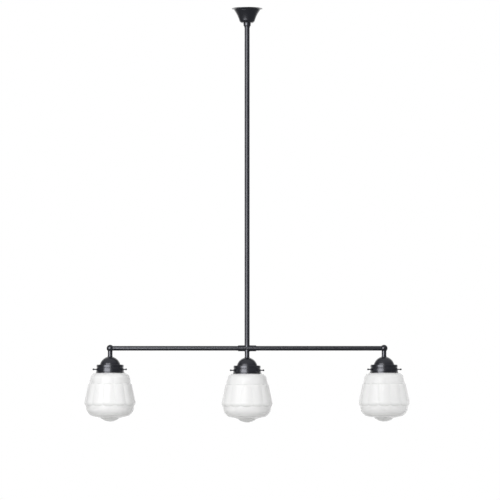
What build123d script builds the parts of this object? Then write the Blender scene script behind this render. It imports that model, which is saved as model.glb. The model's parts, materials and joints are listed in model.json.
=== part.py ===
from build123d import *
import os
from math import asin, cos, degrees, radians, sin, sqrt, tan

# Linear island pendant: a bell canopy on a ceiling strap, one long stem, a cross fitting,
# two arms with ball elbows, and three opal shades, each clamped in a gallery by thumbscrews.
# Frame: millimetres, +Z up, origin on the stem's axis in the plane of the ceiling.
# +X runs along the bar, and the front of the light faces -Y.

os.makedirs("parts", exist_ok=True)

# ---------------------------------------------------------------- driving dimensions

# Layout
bar_drop = 1046.0           # ceiling to the axis of the bar
shade_spacing = 420.0       # between neighbouring shade axes
end_gallery_drop = 50.2     # bar axis to the top of an end gallery
centre_gallery_drop = 53.0  # bar axis to the top of the middle gallery

# Tubes and the hollow threaded nipples that join them
rod_d = 15.5                # the long stem
tube_d = 14.6               # arms and necks
nipple_d = 10.0
nipple_bore_d = 8.2
thread_play = 0.05          # radial play drawn for every thread
wire_way_d = 9.0            # passage for the leads inside cross and balls
nipple_inset = 5.1          # nipple ends stop this far from a fitting's centre
nipple_engagement = 12.0    # length of thread inside a tube

# Ceiling strap
strap_span = 76.0
strap_width = 16.0
strap_t = 2.0
strap_drop = 16.0           # ceiling to the upper face of the dropped middle
strap_middle = 44.0         # length of the dropped middle, outside to outside
strap_bend_r = 1.2
strap_slot_pitch = 62.0
strap_slot_length = 9.0
strap_slot_width = 4.5
strap_hole_play = 0.25
tab_width = 22.0
tab_reach = 22.5            # from the stem's axis to the end of the terminal tab

# Fasteners
nut_across_flats = 14.0
nut_t = 3.0
washer_d = 18.0
washer_t = 1.0
nipple_stand = 1.0          # thread showing past a nut
earth_screw_d = 4.0
earth_head_d = 7.5
earth_head_t = 2.6
earth_screw_x = -14.5
earth_screw_length = 8.0

# Terminal block
block_length = 25.0
block_depth = 12.5
block_height = 12.5
block_gap = 1.0             # strap edge to the block's near face
block_poles = 3
pole_pitch = 8.0
pole_entry_d = 3.6
pole_entry_depth = 8.0
clamp_screw_d = 3.4
clamp_screw_length = 4.0
clamp_screw_sink = 0.8      # screw heads sit this far down their holes
fixing_screw_d = 2.5
fixing_head_d = 3.2
fixing_head_t = 1.4

# Canopy and its collar
canopy_d = 95.0
canopy_height = 43.9
canopy_wall = 1.0
canopy_rim_t = 0.8
canopy_throat_d = 76.4      # where the flare meets the long taper
canopy_throat_z = 7.5
canopy_foot_d = 48.0        # where the taper meets the rounded bottom
canopy_foot_z = 36.9
canopy_floor_d = 35.0       # flat of the bottom
canopy_flare_bow = 2.0      # how far the flare is hollowed below its chord
canopy_taper_bow = 1.35      # the same for the taper
canopy_hole_play = 0.3
collar_d = 22.6
collar_height = 15.0
collar_barrel = 9.0
collar_foot_d = 17.3
collar_play = 0.05
grub_d = 4.0
grub_length = 3.7
grub_tip_gap = 0.1
grub_drop = 5.0             # canopy bottom to the grub screw's axis
grub_play = 0.05
grub_slot_width = 0.8
grub_slot_depth = 1.2

# Cross fitting and ball elbows
cross_d = 18.5
cross_length = 56.0
cross_chamfer = 1.0
cross_boss_d = 16.5
cross_boss_rise = 1.0
ball_d = 22.0

# Neck, dome and gallery of one shade
neck_foot_d = 17.0
neck_foot_t = 1.8
neck_play = 0.3
dome_rise = 25.155           # gallery's top to the crown of the full sphere
dome_base_d = 63.0
dome_flat_d = 17.0
dome_wall = 1.2
gallery_d = 83.3            # over the upper bead
gallery_waist_d = 82.0
gallery_skirt_d = 85.0
gallery_lip_d = 87.5
gallery_height = 24.6
gallery_wall = 1.2
gallery_corner_r = 1.4
gallery_bead_z = 7.6
gallery_waist_z = 8.8
gallery_skirt_z = 14.0       # where the skirt reaches its full diameter
gallery_lip_z = 21.2
gallery_lip_t = 2.4
gallery_nut_across_flats = 17.0

# Thumbscrews
screw_angles = (210.0, 330.0, 90.0)
screw_rise = 10.0            # screw axis above the gallery's lower edge
screw_d = 3.6
screw_play = 0.06
screw_ball_d = 5.8
screw_reach = 60.6          # shade axis to the outside of the ball
screw_tip_gap = 0.3
screw_tip_chamfer = 0.4
boss_d = 7.0
boss_reach = 44.0           # shade axis to the face of the boss
boss_root = 41.5

# Lampholder and lamp
holder_d = 39.0
holder_entry_d = 16.0
holder_entry_length = 8.0
holder_shoulder = 4.0
holder_length = 52.0
chamber_d = 30.0
chamber_height = 11.0
holder_floor_t = 5.0
socket_play = 0.3
shell_t = 0.6
shell_length = 24.0
shell_gap = 1.0             # socket floor to the threaded shell
lamp_cap_d = 26.3
lamp_cap_play = 0.3
lamp_cap_length = 24.5
lamp_cap_wall = 0.8
lamp_tip_d = 9.0
lamp_tip_length = 3.5
contact_d = 11.0
contact_t = 2.0
contact_gap = 0.3
contact_stem_d = 4.0
globe_d = 60.0
globe_length = 80.0
globe_neck_d = 26.0
globe_wall = 1.0

# Opal glass shade, heights measured down from the gallery's lower edge
glass_wall = 3.0
glass_lip_d = 76.0
glass_lip_t = 4.0
glass_lip_gap = 0.3         # screw to the underside of the lip
glass_neck_d = 71.0
glass_neck_fillet = 2.2
glass_shoulder_r = 18.5
glass_shoulder_z = 0.5      # gap between the gallery's lip and the shoulder
glass_shoulder_d = 84.4     # where the shoulder starts to turn down
glass_taper = 11.1          # degrees from upright of band and flutes
glass_band_z = 33.4         # lower end of the plain band
flute_count = 13
flute_phase = 12.6          # degrees from the front of one valley
flute_top_z = 35.5
flute_end_z = 90.5
flute_top_d = 133.8
flute_end_d = 157.2
flute_depth_share = 0.0255  # valley depth over crest radius
flute_lead_in = 1.8         # height of the slope that ends the flutes above
flute_lead_step = 2.2
flute_roll = ((3.0, 0.4), (6.0, 1.6), (8.5, 3.3), (10.5, 5.0))  # drop and draw-in below the flutes
bowl_wall_d = 147.2
bowl_wall_z = 101.5
bowl_wall_draft = 0.8
bowl_turn_z = 108.2
bowl_turn_r = 22.0
bowl_slant = 7.6
bowl_heel_r = 14.0
bowl_floor_slope = 12.0     # degrees of the shallow cone below
nib_base_d = 57.0
nib_sphere_r = 44.0
nib_drop = 149.5            # gallery's lower edge to the tip of the glass
nib_fillet = 4.0

# Lamp leads
lead_d = 2.8
lead_gap = 0.2
lead_bend_r = 3.6
lead_low_z = -9.3           # height of the middle lead where it turns to the terminals
lead_high_z = -5.9          # the same for the two outer leads

# ---------------------------------------------------------------- derived places

tube_r = tube_d / 2
rod_r = rod_d / 2
nipple_r = nipple_d / 2
nipple_bore_r = nipple_bore_d / 2
thread_r = nipple_r + thread_play
wire_way_r = wire_way_d / 2
bar_z = -bar_drop
strap_under_z = -strap_drop - strap_t
ball_seat = sqrt((ball_d / 2) ** 2 - tube_r ** 2)
cross_half = cross_length / 2
cross_boss = cross_d / 2 + cross_boss_rise
rod_top_z = strap_under_z
rod_bottom_z = bar_z + cross_boss
block_near_y = strap_width / 2 + block_gap
block_top_z = -strap_drop + block_height
canopy_floor_z = -canopy_height
collar_bottom_z = canopy_floor_z - collar_height
dome_sphere_r = (dome_rise ** 2 + (dome_base_d / 2) ** 2) / (2 * dome_rise)
dome_centre_drop = dome_sphere_r - dome_rise
dome_top_above = sqrt(dome_sphere_r ** 2 - (dome_flat_d / 2) ** 2) - dome_centre_drop
shell_bore_r = lamp_cap_d / 2 + lamp_cap_play
socket_r = shell_bore_r + shell_t + socket_play
glass_neck_r = glass_neck_d / 2

# name, axis x, drop of the gallery's top below the bar, seat of the neck below the bar
shades = (
    ("left", -shade_spacing, end_gallery_drop, ball_seat),
    ("centre", 0.0, centre_gallery_drop, cross_boss),
    ("right", shade_spacing, end_gallery_drop, ball_seat),
)
sides = (("left", -1), ("right", 1))


def upright(x, z):
    """Sketch plane through a vertical axis: sketch x is the radius, sketch y the height."""
    return Plane(origin=(x, 0, z), x_dir=(1, 0, 0), z_dir=(0, -1, 0))


def spin(x):
    """Vertical axis through x."""
    return Axis((x, 0, 0), (0, 0, 1))


def level(x, z):
    """Horizontal sketch plane centred on a vertical axis."""
    return Plane(origin=(x, 0, z), x_dir=(1, 0, 0), z_dir=(0, 0, 1))


def across(x, z=bar_z):
    """Sketch plane square to the bar, facing +X."""
    return Plane(origin=(x, 0, z), x_dir=(0, 1, 0), z_dir=(1, 0, 0))


def radial(x, z, angle, reach):
    """Sketch plane facing outward from a shade's axis at an angle, a distance out."""
    way = Vector(cos(radians(angle)), sin(radians(angle)), 0)
    return Plane(origin=Vector(x, 0, z) + way * reach, z_dir=way)


def on_circle(radius, angle):
    """Point of a circle about the sketch origin."""
    return (radius * cos(radians(angle)), radius * sin(radians(angle)))


def lobed_outline(crest_r):
    """Points of one lobed ring as (valley, crest, valley) triples, one for each flute."""
    pitch = 360 / flute_count
    valley_r = crest_r * (1 - flute_depth_share)
    start = 270 + flute_phase
    return [
        (
            on_circle(valley_r, start + pitch * k),
            on_circle(crest_r, start + pitch * (k + 0.5)),
            on_circle(valley_r, start + pitch * (k + 1)),
        )
        for k in range(flute_count)
    ]


# ---------------------------------------------------------------- ceiling strap

with BuildPart() as ceiling_strap:
    with BuildSketch(Plane.XZ):
        with BuildLine():
            Polyline(
                (-strap_span / 2, 0),
                (-strap_middle / 2 + strap_t, 0),
                (-strap_middle / 2 + strap_t, -strap_drop),
                (strap_middle / 2 - strap_t, -strap_drop),
                (strap_middle / 2 - strap_t, 0),
                (strap_span / 2, 0),
                (strap_span / 2, -strap_t),
                (strap_middle / 2, -strap_t),
                (strap_middle / 2, strap_under_z),
                (-strap_middle / 2, strap_under_z),
                (-strap_middle / 2, -strap_t),
                (-strap_span / 2, -strap_t),
                close=True,
            )
        make_face()
    extrude(amount=strap_width / 2, both=True)
    bends = [
        edge
        for edge in ceiling_strap.edges().filter_by(Axis.Y)
        if abs(edge.center().X) < strap_middle / 2 + strap_t / 2
    ]
    fillet(bends, radius=strap_bend_r)
    with BuildSketch(Plane.XY.offset(strap_under_z)):
        with Locations((0, tab_reach / 2)):
            Rectangle(tab_width, tab_reach)
    extrude(amount=strap_t)
    with BuildSketch(Plane.XY.offset(strap_under_z)):
        Circle(nipple_r + strap_hole_play)
        with Locations((earth_screw_x, 0)):
            Circle(earth_screw_d / 2 + thread_play)
        with Locations((0, block_near_y + block_depth / 2)):
            Circle(fixing_screw_d / 2 + thread_play)
    extrude(amount=strap_t, mode=Mode.SUBTRACT)
    with BuildSketch(Plane.XY.offset(-strap_t)):
        with GridLocations(strap_slot_pitch, 0, 2, 1):
            SlotOverall(strap_slot_length, strap_slot_width)
    extrude(amount=strap_t, mode=Mode.SUBTRACT)
ceiling_strap.part.label = "ceiling_strap"
export_step(ceiling_strap.part, "parts/ceiling_strap.step")

with BuildPart() as stem_washer:
    with BuildSketch(Plane.XY.offset(-strap_drop)):
        Circle(washer_d / 2)
        Circle(nipple_r + strap_hole_play, mode=Mode.SUBTRACT)
    extrude(amount=washer_t)
stem_washer.part.label = "stem_washer"
export_step(stem_washer.part, "parts/stem_washer.step")

with BuildPart() as stem_nut:
    with BuildSketch(Plane.XY.offset(-strap_drop + washer_t)):
        RegularPolygon(nut_across_flats / 2, 6, major_radius=False)
        Circle(thread_r, mode=Mode.SUBTRACT)
    extrude(amount=nut_t)
stem_nut.part.label = "stem_nut"
export_step(stem_nut.part, "parts/stem_nut.step")

with BuildPart() as earth_screw:
    with BuildSketch(Plane.XY.offset(-strap_drop + earth_head_t - earth_screw_length)):
        with Locations((earth_screw_x, 0)):
            Circle(earth_screw_d / 2)
    extrude(amount=earth_screw_length - earth_head_t)
    with BuildSketch(Plane.XY.offset(-strap_drop)):
        with Locations((earth_screw_x, 0)):
            Circle(earth_head_d / 2)
    extrude(amount=earth_head_t)
    with BuildSketch(Plane.XY.offset(-strap_drop + earth_head_t)):
        with Locations((earth_screw_x, 0)):
            Rectangle(earth_head_d, earth_head_d / 7)
    extrude(amount=-earth_head_t / 2, mode=Mode.SUBTRACT)
earth_screw.part.label = "earth_screw"
export_step(earth_screw.part, "parts/earth_screw.step")

# ---------------------------------------------------------------- terminal block

block_y = block_near_y + block_depth / 2
with BuildPart() as terminal_block:
    with BuildSketch(Plane.XY.offset(-strap_drop)):
        with Locations((0, block_y)):
            RectangleRounded(block_length, block_depth, 1.0)
    extrude(amount=block_height)
    entry_plane = Plane(
        origin=(0, block_near_y + block_depth, -strap_drop + block_height / 3),
        x_dir=(1, 0, 0),
        z_dir=(0, -1, 0),
    )
    with BuildSketch(entry_plane):
        with GridLocations(pole_pitch, 0, block_poles, 1):
            Circle(pole_entry_d / 2)
    extrude(amount=pole_entry_depth / 2, mode=Mode.SUBTRACT)
    with BuildSketch(Plane.XY.offset(block_top_z)):
        with Locations((0, block_y)):
            with GridLocations(pole_pitch, pole_entry_depth, block_poles, 2):
                Circle(clamp_screw_d / 2)
    extrude(amount=-clamp_screw_length - clamp_screw_sink, mode=Mode.SUBTRACT)
    with BuildSketch(Plane.XY.offset(block_top_z)):
        with Locations((0, block_y)):
            Circle(fixing_screw_d / 2 + thread_play)
    extrude(amount=-block_height, mode=Mode.SUBTRACT)
terminal_block.part.label = "terminal_block"
export_step(terminal_block.part, "parts/terminal_block.step")

with BuildPart() as clamp_screws:
    with BuildSketch(Plane.XY.offset(block_top_z - clamp_screw_sink)):
        with Locations((0, block_y)):
            with GridLocations(pole_pitch, pole_entry_depth, block_poles, 2):
                Circle(clamp_screw_d / 2 - thread_play)
                Rectangle(clamp_screw_d, clamp_screw_d / 5, mode=Mode.SUBTRACT)
    extrude(amount=-clamp_screw_length / 4)
    with BuildSketch(Plane.XY.offset(block_top_z - clamp_screw_sink - clamp_screw_length / 4)):
        with Locations((0, block_y)):
            with GridLocations(pole_pitch, pole_entry_depth, block_poles, 2):
                Circle(clamp_screw_d / 2 - thread_play)
    extrude(amount=-clamp_screw_length * 3 / 4)
clamp_screws.part.label = "clamp_screws"
export_step(clamp_screws.part, "parts/clamp_screws.step")

with BuildPart() as block_screw:
    with BuildSketch(Plane.XY.offset(strap_under_z)):
        with Locations((0, block_y)):
            Circle(fixing_screw_d / 2)
    extrude(amount=strap_t + block_height)
    with BuildSketch(Plane.XY.offset(block_top_z)):
        with Locations((0, block_y)):
            Circle(fixing_head_d / 2)
    extrude(amount=fixing_head_t)
block_screw.part.label = "block_screw"
export_step(block_screw.part, "parts/block_screw.step")

# ---------------------------------------------------------------- canopy and collar

canopy_hole_r = rod_r + canopy_hole_play
with BuildPart() as canopy:
    with BuildSketch(upright(0, 0)):
        with BuildLine():
            rim = Line((canopy_d / 2, 0), (canopy_d / 2, -canopy_rim_t))
            throat = (canopy_throat_d / 2, -canopy_throat_z)
            foot = (canopy_foot_d / 2, -canopy_foot_z)
            flare = SagittaArc(rim @ 1, throat, -canopy_flare_bow)
            taper = SagittaArc(throat, foot, -canopy_taper_bow)
            turn = TangentArc(foot, (canopy_floor_d / 2, -canopy_height), tangent=taper % 1)
            floor = Polyline(
                turn @ 1,
                (canopy_hole_r, -canopy_height),
                (canopy_hole_r, -canopy_height + canopy_wall),
                (canopy_floor_d / 2, -canopy_height + canopy_wall),
            )
            inner_throat = (canopy_throat_d / 2 - canopy_wall, -canopy_throat_z + canopy_wall / 2)
            inner_foot = (canopy_foot_d / 2 - canopy_wall, -canopy_foot_z + canopy_wall / 3)
            inner_turn = TangentArc(floor @ 1, inner_foot, tangent=(1, 0))
            inner_taper = SagittaArc(inner_foot, inner_throat, canopy_taper_bow)
            inner_flare = SagittaArc(inner_throat, (canopy_d / 2 - canopy_wall, 0), canopy_flare_bow)
            Line(inner_flare @ 1, rim @ 0)
        make_face()
    revolve(axis=spin(0))
canopy.part.label = "canopy"
export_step(canopy.part, "parts/canopy.step")

with BuildPart() as canopy_collar:
    with BuildSketch(upright(0, 0)):
        with BuildLine():
            Polyline(
                (rod_r + collar_play, collar_bottom_z),
                (rod_r + collar_play, canopy_floor_z),
                (collar_d / 2, canopy_floor_z),
                (collar_d / 2, canopy_floor_z - collar_barrel),
            )
            SagittaArc(
                (collar_d / 2, canopy_floor_z - collar_barrel),
                (collar_foot_d / 2, collar_bottom_z),
                -1.0,
            )
            Line((collar_foot_d / 2, collar_bottom_z), (rod_r + collar_play, collar_bottom_z))
        make_face()
    revolve(axis=spin(0))
    with BuildSketch(radial(0, canopy_floor_z - grub_drop, 90, rod_r)):
        Circle(grub_d / 2 + grub_play)
    extrude(amount=collar_d, mode=Mode.SUBTRACT)
canopy_collar.part.label = "canopy_collar"
export_step(canopy_collar.part, "parts/canopy_collar.step")

with BuildPart() as collar_grub_screw:
    with BuildSketch(radial(0, canopy_floor_z - grub_drop, 90, rod_r + grub_tip_gap)):
        Circle(grub_d / 2)
    extrude(amount=grub_length)
    with BuildSketch(radial(0, canopy_floor_z - grub_drop, 90, rod_r + grub_tip_gap + grub_length)):
        Rectangle(grub_d, grub_slot_width)
    extrude(amount=-grub_slot_depth, mode=Mode.SUBTRACT)
collar_grub_screw.part.label = "collar_grub_screw"
export_step(collar_grub_screw.part, "parts/collar_grub_screw.step")

# ---------------------------------------------------------------- stem and its nipples

with BuildPart() as rod:
    with BuildSketch(Plane.XY.offset(rod_bottom_z)):
        Circle(rod_r)
        Circle(thread_r, mode=Mode.SUBTRACT)
    extrude(amount=rod_top_z - rod_bottom_z)
rod.part.label = "rod"
export_step(rod.part, "parts/rod.step")

rod_nipple_top_z = -strap_drop + washer_t + nut_t + nipple_stand
with BuildPart() as rod_top_nipple:
    with BuildSketch(Plane.XY.offset(rod_top_z - nipple_engagement)):
        Circle(nipple_r)
        Circle(nipple_bore_r, mode=Mode.SUBTRACT)
    extrude(amount=rod_nipple_top_z - rod_top_z + nipple_engagement)
rod_top_nipple.part.label = "rod_top_nipple"
export_step(rod_top_nipple.part, "parts/rod_top_nipple.step")

with BuildPart() as rod_bottom_nipple:
    with BuildSketch(Plane.XY.offset(bar_z + nipple_inset)):
        Circle(nipple_r)
        Circle(nipple_bore_r, mode=Mode.SUBTRACT)
    extrude(amount=rod_bottom_z + nipple_engagement - bar_z - nipple_inset)
rod_bottom_nipple.part.label = "rod_bottom_nipple"
export_step(rod_bottom_nipple.part, "parts/rod_bottom_nipple.step")

# ---------------------------------------------------------------- cross, arms and ball elbows

arm_thread_start = cross_half - nipple_engagement
with BuildPart() as cross_fitting:
    with BuildSketch(across(-cross_half)):
        Circle(cross_d / 2)
    extrude(amount=cross_length)
    chamfer(cross_fitting.edges().filter_by(GeomType.CIRCLE), length=cross_chamfer)
    with BuildSketch(level(0, bar_z - cross_boss)):
        Circle(cross_boss_d / 2)
    extrude(amount=2 * cross_boss)
    with BuildSketch(across(-cross_half)):
        Circle(wire_way_r)
    extrude(amount=cross_length, mode=Mode.SUBTRACT)
    with BuildSketch(level(0, bar_z - cross_boss)):
        Circle(wire_way_r)
    extrude(amount=2 * cross_boss, mode=Mode.SUBTRACT)
    for way in (-1, 1):
        with BuildSketch(across(way * cross_half)):
            Circle(thread_r)
        extrude(amount=-way * nipple_engagement, mode=Mode.SUBTRACT)
        with BuildSketch(level(0, bar_z + way * cross_boss)):
            Circle(thread_r)
        extrude(amount=-way * (cross_boss - nipple_inset), mode=Mode.SUBTRACT)
cross_fitting.part.label = "cross_fitting"
export_step(cross_fitting.part, "parts/cross_fitting.step")

arm_length = shade_spacing - ball_seat - cross_half
for name, way in sides:
    with BuildPart() as arm:
        with BuildSketch(across(way * cross_half)):
            Circle(tube_r)
            Circle(thread_r, mode=Mode.SUBTRACT)
        extrude(amount=way * arm_length)
    arm.part.label = f"arm_{name}"
    export_step(arm.part, f"parts/arm_{name}.step")

    with BuildPart() as ball:
        with Locations((way * shade_spacing, 0, bar_z)):
            Sphere(ball_d / 2)
        inner_face = Plane(origin=(way * (shade_spacing - ball_seat), 0, bar_z), z_dir=(way, 0, 0))
        split(bisect_by=inner_face, keep=Keep.TOP)
        split(bisect_by=level(0, bar_z - ball_seat), keep=Keep.TOP)
        with Locations((way * shade_spacing, 0, bar_z)):
            Sphere(wire_way_r, mode=Mode.SUBTRACT)
        with BuildSketch(across(way * shade_spacing)):
            Circle(wire_way_r)
        extrude(amount=-way * ball_seat, mode=Mode.SUBTRACT)
        with BuildSketch(level(way * shade_spacing, bar_z)):
            Circle(wire_way_r)
        extrude(amount=-ball_seat, mode=Mode.SUBTRACT)
        with BuildSketch(across(way * (shade_spacing - ball_seat))):
            Circle(thread_r)
        extrude(amount=way * (ball_seat - nipple_inset), mode=Mode.SUBTRACT)
        with BuildSketch(level(way * shade_spacing, bar_z - ball_seat)):
            Circle(thread_r)
        extrude(amount=ball_seat - nipple_inset, mode=Mode.SUBTRACT)
    ball.part.label = f"ball_{name}"
    export_step(ball.part, f"parts/ball_{name}.step")

with BuildPart() as arm_nipples:
    for name, way in sides:
        with BuildSketch(across(way * arm_thread_start)):
            Circle(nipple_r)
            Circle(nipple_bore_r, mode=Mode.SUBTRACT)
        extrude(amount=way * 2 * nipple_engagement)
        with BuildSketch(across(way * (shade_spacing - nipple_inset))):
            Circle(nipple_r)
            Circle(nipple_bore_r, mode=Mode.SUBTRACT)
        extrude(amount=-way * (ball_seat - nipple_inset + nipple_engagement))
arm_nipples.part.label = "arm_nipples"
export_step(arm_nipples.part, "parts/arm_nipples.step")

# ---------------------------------------------------------------- neck, dome and gallery

nipple_tail = gallery_wall + nut_t + holder_entry_length + nipple_stand
for name, x, gallery_drop, neck_seat in shades:
    gallery_z = bar_z - gallery_drop
    dome_top_z = gallery_z + dome_top_above

    with BuildPart() as stem_nipple:
        with BuildSketch(level(x, gallery_z - nipple_tail)):
            Circle(nipple_r)
            Circle(nipple_bore_r, mode=Mode.SUBTRACT)
        extrude(amount=bar_z - nipple_inset - gallery_z + nipple_tail)
    stem_nipple.part.label = f"shade_nipple_{name}"
    export_step(stem_nipple.part, f"parts/shade_nipple_{name}.step")

    with BuildPart() as neck:
        with BuildSketch(upright(x, 0)):
            with BuildLine():
                Polyline(
                    (nipple_r + neck_play, dome_top_z),
                    (neck_foot_d / 2, dome_top_z),
                    (neck_foot_d / 2, dome_top_z + neck_foot_t / 2),
                    (tube_r, dome_top_z + neck_foot_t),
                    (tube_r, bar_z - neck_seat),
                    (nipple_r + neck_play, bar_z - neck_seat),
                    close=True,
                )
            make_face()
        revolve(axis=spin(x))
    neck.part.label = f"neck_{name}"
    export_step(neck.part, f"parts/neck_{name}.step")

    with BuildPart() as dome:
        with BuildSketch(upright(x, gallery_z - dome_centre_drop)):
            flat_angle = degrees(asin(dome_flat_d / 2 / dome_sphere_r))
            base_angle = degrees(asin(dome_base_d / 2 / dome_sphere_r))
            inner_r = dome_sphere_r - dome_wall
            inner_flat_angle = degrees(asin(dome_flat_d / 2 / inner_r))
            inner_base_angle = degrees(asin(sqrt(1 - (dome_centre_drop / inner_r) ** 2)))
            with BuildLine():
                shell = CenterArc(
                    (0, 0), dome_sphere_r, 90 - base_angle, base_angle - flat_angle
                )
                lining = CenterArc(
                    (0, 0), inner_r, 90 - inner_base_angle, inner_base_angle - inner_flat_angle
                )
                Polyline(
                    shell @ 1,
                    (nipple_r + neck_play, (shell @ 1).Y),
                    (nipple_r + neck_play, (lining @ 1).Y),
                    lining @ 1,
                )
                Line(lining @ 0, shell @ 0)
            make_face()
        revolve(axis=spin(x))
    dome.part.label = f"dome_{name}"
    export_step(dome.part, f"parts/dome_{name}.step")

    screw_z = gallery_z - gallery_height + screw_rise
    with BuildPart() as gallery:
        with BuildSketch(upright(x, gallery_z)):
            with BuildLine():
                Polyline(
                    (nipple_r + neck_play, 0),
                    (gallery_d / 2 - gallery_corner_r, 0),
                    (gallery_d / 2, -gallery_corner_r),
                    (gallery_d / 2, -gallery_bead_z),
                    (gallery_waist_d / 2, -gallery_waist_z),
                    (gallery_skirt_d / 2, -gallery_skirt_z),
                    (gallery_skirt_d / 2, -gallery_lip_z),
                    (gallery_lip_d / 2, -gallery_height + gallery_lip_t),
                    (gallery_lip_d / 2, -gallery_height),
                    (gallery_lip_d / 2 - gallery_wall, -gallery_height),
                    (gallery_skirt_d / 2 - gallery_wall, -gallery_lip_z - gallery_wall / 2),
                    (gallery_skirt_d / 2 - gallery_wall, -gallery_skirt_z - gallery_wall / 4),
                    (gallery_waist_d / 2 - gallery_wall, -gallery_waist_z),
                    (gallery_d / 2 - gallery_wall, -gallery_bead_z + gallery_wall / 2),
                    (gallery_d / 2 - gallery_wall, -gallery_corner_r - gallery_wall / 2),
                    (gallery_d / 2 - gallery_corner_r - gallery_wall / 2, -gallery_wall),
                    (nipple_r + neck_play, -gallery_wall),
                    close=True,
                )
            make_face()
        revolve(axis=spin(x))
        for angle in screw_angles:
            with BuildSketch(radial(x, screw_z, angle, boss_root)):
                Circle(boss_d / 2)
            extrude(amount=boss_reach - boss_root)
            with BuildSketch(radial(x, screw_z, angle, glass_lip_d / 2)):
                Circle(screw_d / 2 + screw_play)
            extrude(amount=boss_reach - glass_lip_d / 2, mode=Mode.SUBTRACT)
    gallery.part.label = f"gallery_{name}"
    export_step(gallery.part, f"parts/gallery_{name}.step")

    for number, angle in enumerate(screw_angles, start=1):
        screw_tip = glass_neck_r + screw_tip_gap
        ball_centre = screw_reach - screw_ball_d / 2
        with BuildPart() as thumbscrew:
            with BuildSketch(radial(x, screw_z, angle, screw_tip)):
                Circle(screw_d / 2)
            extrude(amount=ball_centre - screw_tip)
            tip_edge = thumbscrew.faces().sort_by(
                lambda face: (face.center() - Vector(x, 0, screw_z)).length
            )[0].edges()
            chamfer(tip_edge, length=screw_tip_chamfer)
            with Locations(radial(x, screw_z, angle, ball_centre)):
                Sphere(screw_ball_d / 2)
        thumbscrew.part.label = f"thumbscrew_{name}_{number}"
        export_step(thumbscrew.part, f"parts/thumbscrew_{name}_{number}.step")

with BuildPart() as gallery_nuts:
    for name, x, gallery_drop, neck_seat in shades:
        with BuildSketch(level(x, bar_z - gallery_drop - gallery_wall - nut_t)):
            RegularPolygon(gallery_nut_across_flats / 2, 6, major_radius=False)
            Circle(thread_r, mode=Mode.SUBTRACT)
        extrude(amount=nut_t)
gallery_nuts.part.label = "gallery_nuts"
export_step(gallery_nuts.part, "parts/gallery_nuts.step")

# ---------------------------------------------------------------- lampholders and lamps

# Heights below the lampholder's upper face
floor_top = holder_entry_length + chamber_height
floor_under = floor_top + holder_floor_t
shell_top = floor_under + shell_gap
contact_face = floor_under + contact_t
lamp_top = contact_face + contact_gap
cap_rim = lamp_top + lamp_cap_length
holder_drop = gallery_wall + nut_t

for name, x, gallery_drop, neck_seat in shades:
    holder_z = bar_z - gallery_drop - holder_drop

    with BuildPart() as lampholder:
        with BuildSketch(upright(x, holder_z)):
            with BuildLine():
                Polyline(
                    (thread_r, 0),
                    (holder_entry_d / 2, 0),
                    (holder_entry_d / 2, -holder_entry_length),
                    (holder_d / 2, -holder_entry_length - holder_shoulder),
                    (holder_d / 2, -holder_length),
                    (socket_r, -holder_length),
                    (socket_r, -floor_under),
                    (contact_stem_d / 2 + thread_play, -floor_under),
                    (contact_stem_d / 2 + thread_play, -floor_top),
                    (chamber_d / 2, -floor_top),
                    (chamber_d / 2, -holder_entry_length - holder_shoulder),
                    (thread_r, -holder_entry_length),
                    close=True,
                )
            make_face()
        revolve(axis=spin(x))
    lampholder.part.label = f"lampholder_{name}"
    export_step(lampholder.part, f"parts/lampholder_{name}.step")

    with BuildPart() as threaded_shell:
        with BuildSketch(level(x, holder_z - shell_top)):
            Circle(shell_bore_r + shell_t)
            Circle(shell_bore_r, mode=Mode.SUBTRACT)
        extrude(amount=-shell_length)
    threaded_shell.part.label = f"threaded_shell_{name}"
    export_step(threaded_shell.part, f"parts/threaded_shell_{name}.step")

    with BuildPart() as lamp_cap:
        with BuildSketch(upright(x, holder_z)):
            with BuildLine():
                Polyline(
                    (0, -lamp_top),
                    (lamp_tip_d / 2, -lamp_top),
                    (lamp_cap_d / 2, -lamp_top - lamp_tip_length),
                    (lamp_cap_d / 2, -cap_rim),
                    (lamp_cap_d / 2 - lamp_cap_wall, -cap_rim),
                    (lamp_cap_d / 2 - lamp_cap_wall, -lamp_top - lamp_tip_length - lamp_cap_wall),
                    (lamp_tip_d / 2 - lamp_cap_wall, -lamp_top - lamp_cap_wall),
                    (0, -lamp_top - lamp_cap_wall),
                    close=True,
                )
            make_face()
        revolve(axis=spin(x))
    lamp_cap.part.label = f"lamp_cap_{name}"
    export_step(lamp_cap.part, f"parts/lamp_cap_{name}.step")

    globe_r = globe_d / 2
    globe_centre = cap_rim + globe_length - globe_r
    neck_angle = degrees(asin(globe_neck_d / 2 / globe_r)) + 18
    with BuildPart() as lamp_globe:
        with BuildSketch(upright(x, holder_z - globe_centre)):
            with BuildLine():
                ball_arc = CenterArc((0, 0), globe_r, -90, 180 - neck_angle)
                collar_point = (globe_neck_d / 2, globe_centre - cap_rim)
                waist = TangentArc(ball_arc @ 1, collar_point, tangent=ball_arc % 1)
                inner_arc = CenterArc((0, 0), globe_r - globe_wall, -90, 180 - neck_angle)
                inner_point = (globe_neck_d / 2 - globe_wall, globe_centre - cap_rim)
                inner_waist = TangentArc(inner_arc @ 1, inner_point, tangent=inner_arc % 1)
                Line(waist @ 1, inner_waist @ 1)
                Line(ball_arc @ 0, inner_arc @ 0)
            make_face()
        revolve(axis=spin(x))
    lamp_globe.part.label = f"lamp_globe_{name}"
    export_step(lamp_globe.part, f"parts/lamp_globe_{name}.step")

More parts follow.
